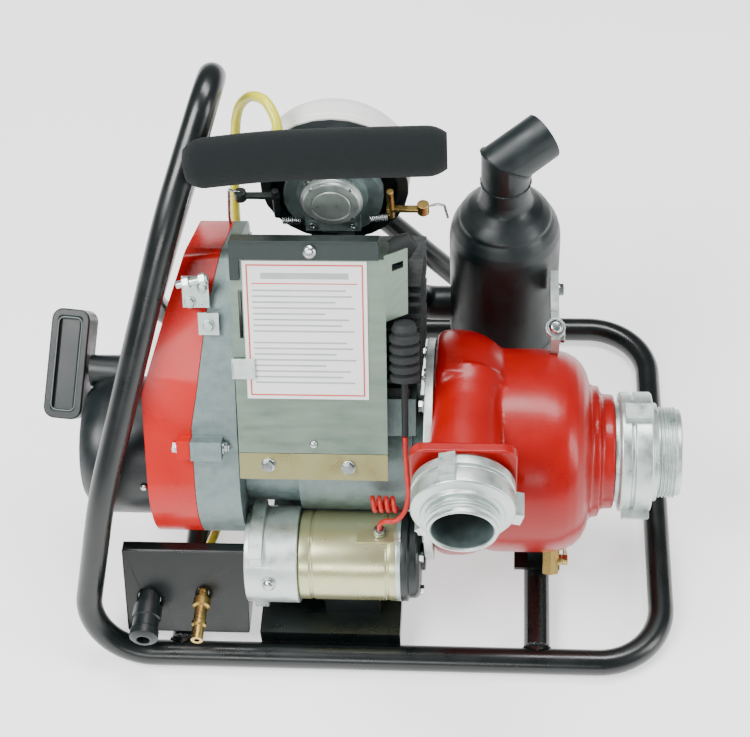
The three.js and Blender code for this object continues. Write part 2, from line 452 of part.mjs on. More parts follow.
// fuel hose and starter lead
const hoseRoute = [[-48.6, 194.2, 320.6], [-51.6, 193.6, 326], [-54.5, 194, 334], [-56.5, 198, 344], [-59, 206, 353], [-66, 216, 358.5], [-76, 225, 354.5], [-85, 232, 342], [-91, 238, 324], [-95, 243, 300], [-99, 248, 270], [-104, 248, 220], [-105, 248, 150], [-106, 244, 90], [-108, 222, 48], [-112, 180, 34], [-117, 130, 34], [-121, 85, 44], [-123, 66, 50], [-123, 53.6, 50]];
add('cords', 'fuel_hose', tube(smooth(hoseRoute, 44), 3.5, 8), 0xd9d92e, 0.5, 0);
const leadRoute = [[8, 44, 111.3], [9, 44, 118], [13, 43, 123], [20, 43, 124], [26, 46, 130], [29, 51, 142], [28.5, 58, 158], [27.8, 64, 175], [27.6, 69.2, 186.8]];
add('cords', 'starter_lead', tube(smooth(leadRoute, 22), 1.8, 8), 0xc02018, 0.5, 0);

// ------------------------------------------------------------------ pump
add('pump', 'pump_backplate', turn(ring([[12.6, 0], [80, 0], [80, 6], [12.6, 6]]), V(40, CY, CZ), V(1, 0, 0), 36).subtract(box(38, 48, 20, 45.6, 147, 220)), ALU, 0.4, 0.9);
add('pump', 'shaft_seal', turn(ring([[12.4, 0], [19, 0], [19, 5], [12.4, 5]]), V(46.3, CY, CZ), V(1, 0, 0), 16), 0x2a2f2f, 0.6, 0.2);
// volute: the radius grows from the front, round the bottom and the back, to the top outlet
const vol = [];
for (let i = 0; i <= 26; i++) {
  const f = i / 26;
  const a = Math.PI * (0.86) + f * (Math.PI * 1.64);    // angle in the Y-Z plane, from above the front, down, back and up
  const r = 73 + 16 * f;
  vol.push([r * Math.cos(a), r * Math.sin(a)]);
}
const DX = 68, DZ = 183;
let volute = plate(vol, 51.7, basis(V(0, 1, 0), V(0, 0, 1), V(1, 0, 0), V(46.3, CY, CZ)), 8, 1);
volute = volute.add(rod(V(DX, 116, DZ), V(DX, 62.3, DZ), 25, 24));
const fl = [];
for (const [cx, cz, s] of [[26, 22, 0], [-26, 22, 1], [-26, -22, 2], [26, -22, 3]]) for (let j = 0; j <= 3; j++) { const a = ((s + j / 3) * Math.PI) / 2; fl.push([cx + 10 * Math.cos(a), cz + 10 * Math.sin(a)]); }
volute = volute
  .subtract(box(30, 46.3, 45.3, 200, 100, 230))
  .subtract(rodX(44, 90, CY, CZ, 66, 24))
  .subtract(rodX(88, 102, CY, CZ, 60, 24))
  .subtract(rod(V(DX, 112, DZ), V(DX, 55, DZ), 19, 20));
add('pump', 'volute_casing', volute, RED, 0.22, 0);
// suction cover, bolted on behind the scroll, and the discharge neck with its bar flange
add('pump', 'suction_cover', turn(ring([[60, 10.3], [73, 10.3], [73, 46], [70.5, 54], [65, 60], [57, 65], [47, 68], [47, 74], [41, 75], [41, 84.7], [25, 84.7], [25, 53], [60, 53]]), V(88, CY, CZ), V(1, 0, 0), 32), RED, 0.22, 0);
add('pump', 'discharge_neck', rod(V(DX, 62, DZ), V(DX, 42, DZ), 25, 24)
  .add(plate(fl, 8, basis(V(1, 0, 0), V(0, 0, 1), V(0, -1, 0), V(DX, 44.3, DZ)), 1, 1))
  .subtract(rod(V(DX, 70, DZ), V(DX, 30, DZ), 19, 20))
  .subtract(plate(vol.map(([a, b]) => [a * 1.005, b * 1.005]), 56, basis(V(0, 1, 0), V(0, 0, 1), V(1, 0, 0), V(44.5, CY, CZ))))
  .subtract(box(30, 46.3, 45.3, 200, 100, 230))
  .subtract(rodX(97, 106, CY, CZ, 73.6, 32)), RED, 0.22, 0);

let impeller = turn(ring([[9.3, 0], [60, 0], [60, 3.5], [17, 6], [15, 26], [9.3, 26]]), V(58, CY, CZ), V(1, 0, 0), 24);
for (let k = 0; k < 5; k++) {
  const inner = [], outer = [];
  for (let j = 0; j <= 4; j++) {
    const f = j / 4, r = 15 + 43 * f, a = -f * 1.25 + (k * Math.PI) / 2.5;
    inner.push([r * Math.cos(a), r * Math.sin(a)]);
    const a2 = a + 2.4 / r;
    outer.push([r * Math.cos(a2), r * Math.sin(a2)]);
  }
  impeller = impeller.add(plate([...inner, ...outer.reverse()], 18, basis(V(0, 1, 0), V(0, 0, 1), V(1, 0, 0), V(61, CY, CZ))));
}
impeller = impeller.subtract(rodX(50, 100, CY, CZ, 9.4, 14));
add('rotor', 'impeller', impeller, 0xb59a5a, 0.4, 1);

function coupling(rBase, rRing, hRing, rMale, L, rBore) {
  const p = [[rBore, 0], [rBase, 0], [rBase, 3], [rRing, 3.6], [rRing, 3 + hRing - 1], [rRing - 1, 3 + hRing], [rMale + 3, 4 + hRing], [rMale + 2.4, 7 + hRing]];
  let h = 8.5 + hRing;
  while (h < L - 3) { p.push([rMale - 1.3, h], [rMale, h + 1.5]); h += 3; }
  p.push([rMale - 1.6, L], [rBore + 1, L], [rBore, L - 1.2]);
  return ring(p);
}
let discharge = turn(coupling(27, 35, 23, 25.3, 42, 21), V(DX, 36, DZ), V(0, -1, 0), 24);
for (const deg of [105, 225, 345]) {
  const a = THREE.MathUtils.degToRad(deg);
  const r = V(Math.cos(a), 0, Math.sin(a)), t = V(-Math.sin(a), 0, Math.cos(a));
  const g = new THREE.BoxGeometry(11, 11, 19);
  g.translate(35.2, 0, 0);
  discharge = discharge.add(solid(g, basis(r, t, V(0, 1, 0).multiplyScalar(r.clone().cross(t).y), V(DX, 21, DZ))));
}
discharge = discharge.subtract(rod(V(DX, 60, DZ), V(DX, -20, DZ), 21, 24));
add('pump', 'discharge_adapter', discharge, ALU, 0.4, 0.9);
let suction = turn(coupling(36, 43, 23, 32.5, 47, 26), V(173, CY, CZ), V(1, 0, 0), 26);
for (const deg of [60, 180, 300]) {
  const a = THREE.MathUtils.degToRad(deg + 30);
  const r = V(0, Math.cos(a), Math.sin(a)), t = V(0, -Math.sin(a), Math.cos(a));
  const g = new THREE.BoxGeometry(11, 13, 19);
  g.translate(42.5, 0, 0);
  suction = suction.add(solid(g, basis(r, t, V(1, 0, 0), V(188.5, CY, CZ))));
}
suction = suction.subtract(rodX(160, 240, CY, CZ, 26, 26));
add('pump', 'suction_adapter', suction, ALU, 0.4, 0.9);

// drain cock low on the suction end of the pump body
const dn = V(0, -0.62, -0.78).normalize();
add('pump', 'drain_cock', cutAt(rod(V(130, CY, CZ).addScaledVector(dn, 73.4), V(130, CY, CZ).addScaledVector(dn, 92), 6.5, 6), V(130, CY, CZ).addScaledVector(dn, 73.4), dn.clone().negate()).add(rod(V(130, CY, CZ).addScaledVector(dn, 82), V(138, CY, CZ).addScaledVector(dn, 82).add(V(0, 0, 0)), 4, 12)), BRASS, 0.35, 1);
{
  const c = V(138.3, CY, CZ).addScaledVector(dn, 82);
  const side = V(1, 0, 0).cross(dn).normalize();
  add('drain', 'drain_lever', rod(c, c.clone().add(V(4, 0, 0)), 4, 14).add(solid(new THREE.BoxGeometry(2.4, 26, 6).translate(0, 13, 0), basis(V(1, 0, 0), side, V(1, 0, 0).cross(side), c.clone().add(V(2.6, 0, 0))))), BRASS, 0.35, 1);
}

export default root;
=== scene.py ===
import math, random, json
import bpy, bmesh
import numpy as np
from mathutils import Vector, Matrix


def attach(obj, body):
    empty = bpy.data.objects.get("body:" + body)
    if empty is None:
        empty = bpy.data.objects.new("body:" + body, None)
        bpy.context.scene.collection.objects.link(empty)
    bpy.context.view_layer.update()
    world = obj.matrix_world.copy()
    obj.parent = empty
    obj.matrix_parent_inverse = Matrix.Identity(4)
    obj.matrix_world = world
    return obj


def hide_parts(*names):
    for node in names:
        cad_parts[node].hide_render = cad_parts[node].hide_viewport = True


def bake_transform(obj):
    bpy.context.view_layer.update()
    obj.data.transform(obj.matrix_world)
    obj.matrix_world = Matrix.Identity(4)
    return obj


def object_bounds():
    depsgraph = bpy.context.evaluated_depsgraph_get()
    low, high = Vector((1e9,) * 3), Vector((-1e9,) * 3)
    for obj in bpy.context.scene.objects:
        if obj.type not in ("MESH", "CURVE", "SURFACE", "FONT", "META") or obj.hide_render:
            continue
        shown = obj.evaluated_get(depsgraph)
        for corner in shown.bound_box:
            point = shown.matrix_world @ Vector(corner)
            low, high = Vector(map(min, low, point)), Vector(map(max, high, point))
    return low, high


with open("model.json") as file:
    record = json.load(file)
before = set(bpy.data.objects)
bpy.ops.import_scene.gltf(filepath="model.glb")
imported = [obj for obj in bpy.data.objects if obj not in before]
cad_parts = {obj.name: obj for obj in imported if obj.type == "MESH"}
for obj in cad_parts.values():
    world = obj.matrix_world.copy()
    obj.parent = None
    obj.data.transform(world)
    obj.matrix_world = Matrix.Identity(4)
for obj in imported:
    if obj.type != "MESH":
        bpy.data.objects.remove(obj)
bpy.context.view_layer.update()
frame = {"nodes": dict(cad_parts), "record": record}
random.seed(7)
K = 0.001
ROOT = "frame_and_engine"


def V(x, y, z):
    return Vector((x * K, y * K, z * K))


def E(x, p, s):
    return V(x, 108 + 0.8829 * p + 0.4695 * s, 122 - 0.4695 * p + 0.8829 * s)


AX = Vector((0, 0.4695, 0.8829))
PX = Vector((0, 0.8829, -0.4695))
XX = Vector((1, 0, 0))
YY = Vector((0, 1, 0))
ZZ = Vector((0, 0, 1))


# ---------------------------------------------------------------- materials
def lin(c):
    c = c / 255.0
    return c / 12.92 if c <= 0.04045 else ((c + 0.055) / 1.055) ** 2.4


def rgb(t):
    return (lin(t[0]), lin(t[1]), lin(t[2]), 1)


def material(name, col, rough=0.4, metal=0.0, alt=None, mix=0.5, scale=60, grain=900, bump=0.1, rvar=0.12, coat=0.0, croug=0.1, spec=0.5, sheen=0.0, sss=0.0, trans=0.0, stretch=None, dist=0.0004):
    m = bpy.data.materials.new(name)
    m.use_nodes = True
    nt = m.node_tree
    b = nt.nodes["Principled BSDF"]
    L = nt.links.new
    tc = nt.nodes.new("ShaderNodeTexCoord")
    mp = nt.nodes.new("ShaderNodeMapping")
    L(tc.outputs["Object"], mp.inputs["Vector"])
    if stretch:
        mp.inputs["Scale"].default_value = stretch
    n1 = nt.nodes.new("ShaderNodeTexNoise")
    n1.inputs["Scale"].default_value = scale
    n1.inputs["Detail"].default_value = 6
    L(mp.outputs["Vector"], n1.inputs["Vector"])
    n2 = nt.nodes.new("ShaderNodeTexNoise")
    n2.inputs["Scale"].default_value = grain
    n2.inputs["Detail"].default_value = 3
    L(mp.outputs["Vector"], n2.inputs["Vector"])
    ramp = nt.nodes.new("ShaderNodeValToRGB")
    a = alt or tuple(min(255, c * 1.12 + 4) for c in col)
    ramp.color_ramp.elements[0].position = 0.5 - 0.28 / max(mix, 0.05) * 0.5
    ramp.color_ramp.elements[1].position = min(1, 0.5 + 0.28 / max(mix, 0.05) * 0.5)
    ramp.color_ramp.elements[0].color = rgb(col)
    ramp.color_ramp.elements[1].color = rgb(a)
    L(n1.outputs["Fac"], ramp.inputs["Fac"])
    L(ramp.outputs["Color"], b.inputs["Base Color"])
    mr = nt.nodes.new("ShaderNodeMapRange")
    mr.inputs["From Min"].default_value = 0.3
    mr.inputs["From Max"].default_value = 0.7
    mr.inputs["To Min"].default_value = max(0.04, rough - rvar)
    mr.inputs["To Max"].default_value = min(1, rough + rvar)
    L(n1.outputs["Fac"], mr.inputs["Value"])
    L(mr.outputs["Result"], b.inputs["Roughness"])
    bp = nt.nodes.new("ShaderNodeBump")
    bp.inputs["Strength"].default_value = bump
    bp.inputs["Distance"].default_value = dist
    L(n2.outputs["Fac"], bp.inputs["Height"])
    L(bp.outputs["Normal"], b.inputs["Normal"])
    b.inputs["Metallic"].default_value = metal
    b.inputs["Specular IOR Level"].default_value = spec
    b.inputs["Coat Weight"].default_value = coat
    b.inputs["Coat Roughness"].default_value = croug
    b.inputs["Sheen Weight"].default_value = sheen
    if sss:
        b.inputs["Subsurface Weight"].default_value = sss
        b.inputs["Subsurface Scale"].default_value = 0.004
        b.inputs["Subsurface Radius"].default_value = (1, 0.8, 0.3)
    if trans:
        b.inputs["Transmission Weight"].default_value = trans
        b.inputs["IOR"].default_value = 1.42
    return m


M = {
    "frame_black": material("frame_black", (5, 11, 11), 0.3, 0.0, alt=(9, 16, 16), scale=45, grain=1500, bump=0.10, rvar=0.07, coat=0.2, croug=0.22, spec=0.5),
    "foam_black": material("foam_black", (6, 12, 13), 0.82, 0.0, alt=(14, 23, 24), scale=700, grain=1900, bump=0.9, rvar=0.05, sheen=0.06, spec=0.25, dist=0.0007),
    "rubber_black": material("rubber_black", (18, 22, 22), 0.72, 0.0, alt=(30, 35, 35), scale=120, grain=1300, bump=0.25, rvar=0.08),
    "brass": material("brass", (200, 172, 105), 0.3, 1.0, alt=(168, 140, 80), scale=90, grain=1400, bump=0.12, rvar=0.1),
    "plastic_black": material("plastic_black", (10, 18, 19), 0.36, 0.0, alt=(17, 27, 28), scale=70, grain=1900, bump=0.22, rvar=0.07, spec=0.5),
    "cast_grey": material("cast_grey", (106, 124, 124), 0.5, 0.65, alt=(138, 154, 152), scale=150, grain=1000, bump=0.55, rvar=0.1, dist=0.0006),
    "steel": material("steel", (196, 201, 200), 0.26, 1.0, alt=(165, 172, 172), scale=120, grain=1500, bump=0.08, rvar=0.09),
    "fin_dark": material("fin_dark", (9, 15, 15), 0.55, 0.25, alt=(34, 44, 44), scale=160, grain=1100, bump=0.5, rvar=0.1, dist=0.0006),
    "cover_red": material("cover_red", (182, 8, 3), 0.3, 0.0, alt=(196, 15, 6), scale=35, grain=700, bump=0.12, rvar=0.06, coat=0.22, croug=0.14, spec=0.3),
    "rope": material("rope", (190, 184, 160), 0.9, 0.0, alt=(120, 116, 100), scale=1200, grain=2200, bump=0.8, sheen=0.3),
    "steel_dark": material("steel_dark", (34, 43, 42), 0.4, 0.4, alt=(48, 58, 56), scale=90, grain=1300, bump=0.2, rvar=0.1),
    "alloy_pale": material("alloy_pale", (186, 200, 196), 0.36, 0.8, alt=(214, 222, 217), scale=140, grain=1100, bump=0.3, rvar=0.1, dist=0.0005),
    "filter_foam": material("filter_foam", (196, 184, 128), 0.95, 0.0, alt=(150, 140, 92), scale=900, grain=1800, bump=0.9),
    "plastic_white": material("plastic_white", (226, 229, 224), 0.36, 0.0, alt=(236, 238, 234), scale=40, grain=1600, bump=0.08, rvar=0.06, spec=0.5, sss=0.08),
    "sheet_grey": material("sheet_grey", (104, 122, 110), 0.36, 0.6, alt=(128, 144, 130), scale=40, grain=1300, bump=0.12, rvar=0.08, stretch=(1, 1, 5)),
    "sheet_gold": material("sheet_gold", (176, 164, 112), 0.34, 0.8, alt=(146, 150, 112), scale=45, grain=1300, bump=0.12, rvar=0.1),
    "card_white": material("card_white", (236, 238, 235), 0.5, 0.0, alt=(228, 231, 228), scale=30, grain=1200, bump=0.05, rvar=0.05, coat=0.25),
    "exhaust_black": material("exhaust_black", (10, 20, 21), 0.4, 0.1, alt=(20, 32, 33), scale=60, grain=1300, bump=0.22, rvar=0.1, spec=0.55),
    "starter_gold": material("starter_gold", (202, 196, 146), 0.3, 0.75, alt=(176, 184, 150), scale=28, grain=1300, bump=0.1, rvar=0.09, coat=0.2),
    "hose_yellow": material("hose_yellow", (226, 222, 52), 0.3, 0.0, alt=(214, 208, 40), scale=60, grain=900, bump=0.05, rvar=0.05, sss=0.25, coat=0.3),
    "wire_red": material("wire_red", (196, 30, 22), 0.42, 0.0, alt=(170, 22, 18), scale=200, grain=900, bump=0.1),
    "pump_red": material("pump_red", (142, 3, 2), 0.32, 0.0, alt=(164, 8, 5), scale=30, grain=520, bump=0.3, rvar=0.07, coat=0.2, croug=0.18, spec=0.3, dist=0.0003),
    "bronze": material("bronze", (150, 122, 72), 0.42, 1.0, alt=(118, 92, 52), scale=110, grain=1100, bump=0.4),
}
M["ink_red"] = material("ink_red", (196, 60, 52), 0.5, 0.0, scale=50, bump=0.03)
M["ink_grey"] = material("ink_grey", (150, 158, 156), 0.55, 0.0, scale=50, bump=0.03)
M["pale_edge"] = material("pale_edge", (176, 190, 186), 0.35, 0.8, scale=80, bump=0.1)
# painted shade: darker grey for the inside of the coupling bores
M["bore_painted_shade"] = material("bore_painted_shade", (74, 90, 90), 0.55, 0.5, alt=(96, 112, 110), scale=120, grain=900, bump=0.4)
# painted highlight: pale grey for the lit rim of the grip's recess
M["recess_rim_highlight"] = material("recess_rim_highlight", (96, 108, 108), 0.4, 0.0, scale=80, bump=0.05)
# painted shade: near-black for the inside of a slot
M["slot_painted_shade"] = material("slot_painted_shade", (6, 8, 8), 0.8, 0.0, scale=80, bump=0.1)


# ---------------------------------------------------------------- geometry
def basis(w):
    w = Vector(w).normalized()
    u = XX.copy() if abs(w.x) < 0.9 else ZZ.copy()
    u = (u - w * u.dot(w)).normalized()
    return u, w.cross(u), w


def soft(prof, r=0.6, closed=False, n=3):
    out = []
    m = len(prof)
    for i, p in enumerate(prof):
        if not closed and (i == 0 or i == m - 1):
            out.append(tuple(p))
            continue
        a = Vector(prof[(i - 1) % m]) - Vector(p)
        b = Vector(prof[(i + 1) % m]) - Vector(p)
        if a.length < 1e-6 or b.length < 1e-6 or abs(a.normalized().dot(b.normalized()) + 1) < 0.01:
            out.append(tuple(p))
            continue
        d = min(r, a.length / 2.2, b.length / 2.2)
        A = Vector(p) + a.normalized() * d
        B = Vector(p) + b.normalized() * d
        for k in range(n + 1):
            t = k / n
            q = A * (1 - t) ** 2 + Vector(p) * 2 * t * (1 - t) + B * t * t
            out.append(tuple(q))
    return out


def g_lathe(prof, o, w, segs=72, rot=0.0):
    u, v, w = basis(w)
    vs, fs, rings = [], [], []
    closed = not (prof[0][0] < 1e-6 and prof[-1][0] < 1e-6)
    for r, t in prof:
        if r < 1e-6:
            rings.append([len(vs)])
            vs.append(o + w * t * K)
        else:
            q = []
            for i in range(segs):
                a = 2 * math.pi * i / segs + rot
                q.append(len(vs))
                vs.append(o + w * (t * K) + (u * math.cos(a) + v * math.sin(a)) * (r * K))
            rings.append(q)
    n = len(rings)
    for j in range(n if closed else n - 1):
        A, B = rings[j], rings[(j + 1) % n]
        if len(A) == 1 and len(B) == 1:
            continue
        for i in range(segs):
            k = (i + 1) % segs
            if len(A) == 1:
                fs.append((A[0], B[i], B[k]))
            elif len(B) == 1:
                fs.append((A[i], B[0], A[k]))
            else:
                fs.append((A[i], B[i], B[k], A[k]))
    return vs, fs


def g_sweep(pts, r, segs=24, closed=False):
    """r in mm, or one per point."""
    n = len(pts)
    R = r if hasattr(r, "__len__") else [r] * n
    T = []
    for i in range(n):
        a = pts[(i - 1) % n] if (closed or i > 0) else pts[i]
        b = pts[(i + 1) % n] if (closed or i < n - 1) else pts[i]
        T.append((b - a).normalized())
    u = T[0].orthogonal().normalized()
    vs, fs = [], []
    for i in range(n):
        if i:
            u = (u - T[i] * u.dot(T[i])).normalized()
        v = T[i].cross(u)
        for k in range(segs):
            a = 2 * math.pi * k / segs
            vs.append(pts[i] + (u * math.cos(a) + v * math.sin(a)) * R[i] * K)
    for i in range(n - 1):
        for k in range(segs):
            m = (k + 1) % segs
            fs.append((i * segs + k, i * segs + m, (i + 1) * segs + m, (i + 1) * segs + k))
    fs.append(tuple(range(segs))[::-1])
    fs.append(tuple((n - 1) * segs + k for k in range(segs)))
    return vs, fs


def route(points):
    """[x,y,z,(corner radius)] in mm -> smooth list of Vectors in metres."""
    P = [Vector(p[:3]) for p in points]
    out = [P[0]]
    for i in range(1, len(P) - 1):
        r = points[i][3] if len(points[i]) > 3 else 0
        p = P[i]
        a = (P[i - 1] - p)
        b = (P[i + 1] - p)
        la, lb = a.length, b.length
        a.normalize()
        b.normalize()
        ang = a.angle(b)
        if r <= 0 or abs(ang - math.pi) < 0.01:
            out.append(p)
            continue
        half = ang / 2
        t = min(r / math.tan(half), la * 0.499, lb * 0.499)
        r = t * math.tan(half)
        c = p + (a + b).normalized() * (r / math.sin(half))
        s = p + a * t - c
        e = p + b * t - c
        ax = s.cross(e).normalized()
        sweep = s.angle(e)
        k = max(6, int(math.degrees(sweep) / 4))
        for j in range(k + 1):
            out.append(c + Matrix.Rotation(sweep * j / k, 3, ax) @ s)
    out.append(P[-1])
    return [q * K for q in out]


def smooth(P, n):
    P = [Vector(p) * K for p in P]
    out = []
    m = len(P)
    d = [0]
    for i in range(1, m):
        d.append(d[-1] + (P[i] - P[i - 1]).length ** 0.5)
    for j in range(n + 1):
        t = d[-1] * j / n
        i = max(k for k in range(m - 1) if d[k] <= t + 1e-12)
        a = max(0, i - 1)
        c = min(m - 1, i + 2)
        q = [P[a] if a < i else P[i] * 2 - P[i + 1], P[i], P[i + 1], P[c] if c > i + 1 else P[i + 1] * 2 - P[i]]
        tt = [d[i] - (d[i] - d[a] if a < i else d[i + 1] - d[i]), d[i], d[i + 1], d[i + 1] + (d[c] - d[i + 1] if c > i + 1 else d[i + 1] - d[i])]

        def mixp(x, y, tx, ty):
            return x * ((ty - t) / (ty - tx)) + y * ((t - tx) / (ty - tx))
        A1 = mixp(q[0], q[1], tt[0], tt[1])
        A2 = mixp(q[1], q[2], tt[1], tt[2])
        A3 = mixp(q[2], q[3], tt[2], tt[3])
        B1 = mixp(A1, A2, tt[0], tt[2])
        B2 = mixp(A2, A3, tt[1], tt[3])
        out.append(mixp(B1, B2, tt[1], tt[2]))
    return out


def g_box(c, hx, hy, hz, b=(XX, YY, ZZ)):
    vs = [c + b[0] * (sx * hx * K) + b[1] * (sy * hy * K) + b[2] * (sz * hz * K) for sx in (-1, 1) for sy in (-1, 1) for sz in (-1, 1)]
    fs = [(0, 1, 3, 2), (4, 6, 7, 5), (0, 4, 5, 1), (2, 3, 7, 6), (0, 2, 6, 4), (1, 5, 7, 3)]
    return vs, fs


def g_plate(outline, h, o, u, v, w):
    """outline (mm) in u,v; thickness h along w from o."""
    n = len(outline)
    vs = [o + u * (a * K) + v * (b * K) for a, b in outline] + [o + u * (a * K) + v * (b * K) + w * (h * K) for a, b in outline]
    fs = [tuple(range(n))[::-1], tuple(range(n, 2 * n))] + [(i, (i + 1) % n, n + (i + 1) % n, n + i) for i in range(n)]
    return vs, fs


def g_bolt(p, w, d=6.0, kind="hex", h=None, washer=True):
    w = Vector(w).normalized()
    g = []
    base = 0.0
    if washer:
        g.append(g_lathe(soft([(0, 0), (d * 0.98, 0), (d * 0.98, 1.0), (0, 1.0)], 0.25), p, w, 28))
        base = 1.0
    h = h or d * 0.62
    if kind == "hex":
        g.append(g_lathe([(0, base), (d * 0.8, base), (d * 0.84, base + h * 0.8), (d * 0.7, base + h), (0, base + h)], p, w, 6, rot=0.3))
    elif kind == "round":
        g.append(g_lathe(soft([(0, base), (d * 0.8, base), (d * 0.78, base + h * 0.45), (d * 0.5, base + h * 0.92), (0, base + h)], 0.6), p, w, 28))
    else:
        g.append(g_lathe(soft([(0, base), (d * 0.76, base), (d * 0.76, base + h), (d * 0.42, base + h), (d * 0.42, base + h * 0.45), (0, base + h * 0.45)], 0.2), p, w, 28))
    return join(*g)


def join(*gs):
    vs, fs = [], []
    for a, b in gs:
        o = len(vs)
        vs += list(a)
        fs += [tuple(i + o for i in f) for f in b]
    return vs, fs


def shade(me, angle):
    for p in me.polygons:
        p.use_smooth = True
    me.set_sharp_from_angle(angle=math.radians(angle))


def piece(name, geo, mat, body=ROOT, bevel=0, angle=38, repl=(), ride=True):
    vs, fs = geo
    me = bpy.data.meshes.new(name)
    me.from_pydata([tuple(v) for v in vs], [], fs)
    bm = bmesh.new()
    bm.from_mesh(me)
    bmesh.ops.recalc_face_normals(bm, faces=bm.faces)
    bm.to_mesh(me)
    bm.free()
    me.materials.append(M[mat])
    shade(me, angle)
    ob = bpy.data.objects.new(name, me)
    bpy.context.scene.collection.objects.link(ob)
    if bevel:
        bv = ob.modifiers.new("bevel", "BEVEL")
        bv.width = bevel * K
        bv.segments = 2
        bv.limit_method = "ANGLE"
        bv.angle_limit = math.radians(32)
        bv.harden_normals = True
    if ride:
        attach(ob, body)
    if repl:
        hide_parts(*repl)
    return ob


# ---------------------------------------------------------------- CAD nodes: finishes and edges
MATS = {q["node"]: q["material_slot"] for q in frame["record"]["subparts"]}
EDGE = {"fan_cover": 1.8, "fan_housing": 1.2, "recoil_cover": 1.4, "engine_tray": 0.7, "connector_box": 1.6, "cowl": 0.5, "cowl_strap": 0.5, "cowl_foot": 0.4,
        "muffler_stay": 0.6, "cylinder": 0.5, "cylinder_head": 0.5, "carburettor": 0.8, "starter_drive_housing": 0.9, "drain_cock": 0.4, "card_clip": 0.3,
        "crankcase": 1.0, "air_filter_base": 0.8, "pump_backplate": 0.6, "throttle_lever": 0.4, "choke_lever": 0.4, "drain_lever": 0.5}
for n, o in frame["nodes"].items():
    o.data.materials.clear()
    o.data.materials.append(M[MATS[n]])
    for at in ("custom_normal", "sharp_edge", "sharp_face"):
        q = o.data.attributes.get(at)
        if q:
            o.data.attributes.remove(q)
    for q in o.data.polygons:
        q.use_smooth = True
    wm = o.modifiers.new("weld", "WELD")
    wm.merge_threshold = 0.000004
    if n in EDGE:
        bv = o.modifiers.new("bevel", "BEVEL")
        bv.width = EDGE[n] * K
        bv.segments = 3
        bv.limit_method = "ANGLE"
        bv.angle_limit = math.radians(40)
        bv.use_clamp_overlap = True
    es = o.modifiers.new("split", "EDGE_SPLIT")
    es.split_angle = math.radians(36)
    es.use_edge_sharp = False
    if n in EDGE:
        o.modifiers.new("weighted", "WEIGHTED_NORMAL")

# ---------------------------------------------------------------- frame tubes
T = 9.5
loop = route([[-24, 320, T], [-213, 320, T, 46], [-90, 222, 405, 27], [-126.8, 139.9, 323, 200], [-184.2, 44.1, 148, 260], [-215, 0, T, 44], [213, 0, T, 48], [213, 320, T, 48], [24, 320, T]])
piece("tube_loop", join(g_sweep(loop, T, 32), g_lathe(soft([(0, 0), (T, 0), (T, 54), (0, 54)], 0.2), V(-27, 320, T), XX, 40)), "frame_black", repl=("frame_loop",), angle=50)
CAD_FRAME = {}


def weld(c, w, R, r=1.7, n=64):
    """a rippled bead round a tube joint"""
    u, v, w = basis(w)
    pts, rr = [], []
    for i in range(n + 1):
        a = 2 * math.pi * i / n
        pts.append(c + (u * math.cos(a) + v * math.sin(a)) * R * K)
        rr.append(r * (0.85 + 0.2 * math.sin(i * 1.9)))
    vs, fs = g_sweep(pts, rr, 8)
    return [Vector((q.x, q.y, max(q.z, 0.00002))) for q in vs], fs


piece("weld_beads", join(weld(V(121, 9.2, T), YY, 9.4), weld(V(121, 310.8, T), YY, 9.4), weld(V(-140, 9.2, T), YY, 9.4), weld(V(-140, 310.8, T), YY, 9.4)), "frame_black")

# foam sleeve on the carrying handle
gp = smooth([[-113, 162.9, 350.9], [-60, 164.9, 356.8], [-15, 166.7, 358], [56, 169.7, 358]], 60)
gr = [16.4] * len(gp)
for i in range(5):
    gr[i] = gr[-1 - i] = 16.4 - (4 - i) ** 2 * 0.3
foam = piece("foam_grip", g_sweep(gp, gr, 48), "foam_black", repl=("handle_grip",), angle=60)

# ---------------------------------------------------------------- cords
hose_pts = smooth([[-48.6, 194.2, 320.6], [-51.6, 193.6, 326], [-54.5, 194, 334], [-56.5, 198, 344], [-59, 206, 353], [-66, 216, 358.5], [-76, 225, 354.5], [-85, 232, 342], [-91, 238, 324], [-95, 243, 300], [-99, 248, 270], [-104, 248, 220], [-105, 248, 150], [-106, 244, 90], [-108, 222, 48], [-112, 180, 34], [-117, 130, 34], [-121, 85, 44], [-123, 66, 50], [-123, 53.6, 50]], 240)


hose = piece("fuel_line", g_sweep(hose_pts, 3.5, 20), "hose_yellow", repl=("fuel_hose",), angle=60)
lead_pts = smooth([[8, 44, 111.3], [9, 44, 118], [13, 43, 123], [20, 43, 124], [26, 46, 130], [29, 51, 142], [28.5, 58, 158], [27.8, 64, 175], [27.6, 69.2, 186.8]], 90)
lead = piece("starter_wire", g_sweep(lead_pts, 1.8, 16), "wire_red", repl=("starter_lead",), angle=60)

# ---------------------------------------------------------------- couplings
CY, CZ = 108, 122


def thread(r, t0, t1, pitch=3.0, depth=1.3):
    out = []
    t = t0
    while t + pitch <= t1 + 1e-6:
        out += [(r - depth, t), (r - depth, t + pitch * 0.2), (r, t + pitch * 0.5), (r, t + pitch * 0.7), (r - depth, t + pitch)]
        t += pitch
    return out


DX, DZ = 68, 183


def cpl(rb, rr, hr, rm, L, bore):
    prof = soft([(bore, 0), (rb, 0), (rb, 3), (rr - 0.8, 3.5), (rr, 4.4), (rr, 3 + hr * 0.34), (rr - 2.2, 3 + hr * 0.34 + 0.6), (rr - 2.2, 3 + hr * 0.34 + 2.6), (rr, 3 + hr * 0.34 + 3.2), (rr, 2 + hr), (rr - 1, 3 + hr), (rm + 3, 4 + hr), (rm + 2.4, 7 + hr), (rm - 1.5, 7.3 + hr)], 0.5)
    prof += thread(rm, 8.0 + hr, L - 2.2, 2.5, 1.5)
    prof += soft([(rm - 1.5, L - 1.8), (rm - 1.6, L - 0.7), (rm - 2.6, L), (bore + 1, L), (bore, L - 1.2)], 0.3)
    return prof


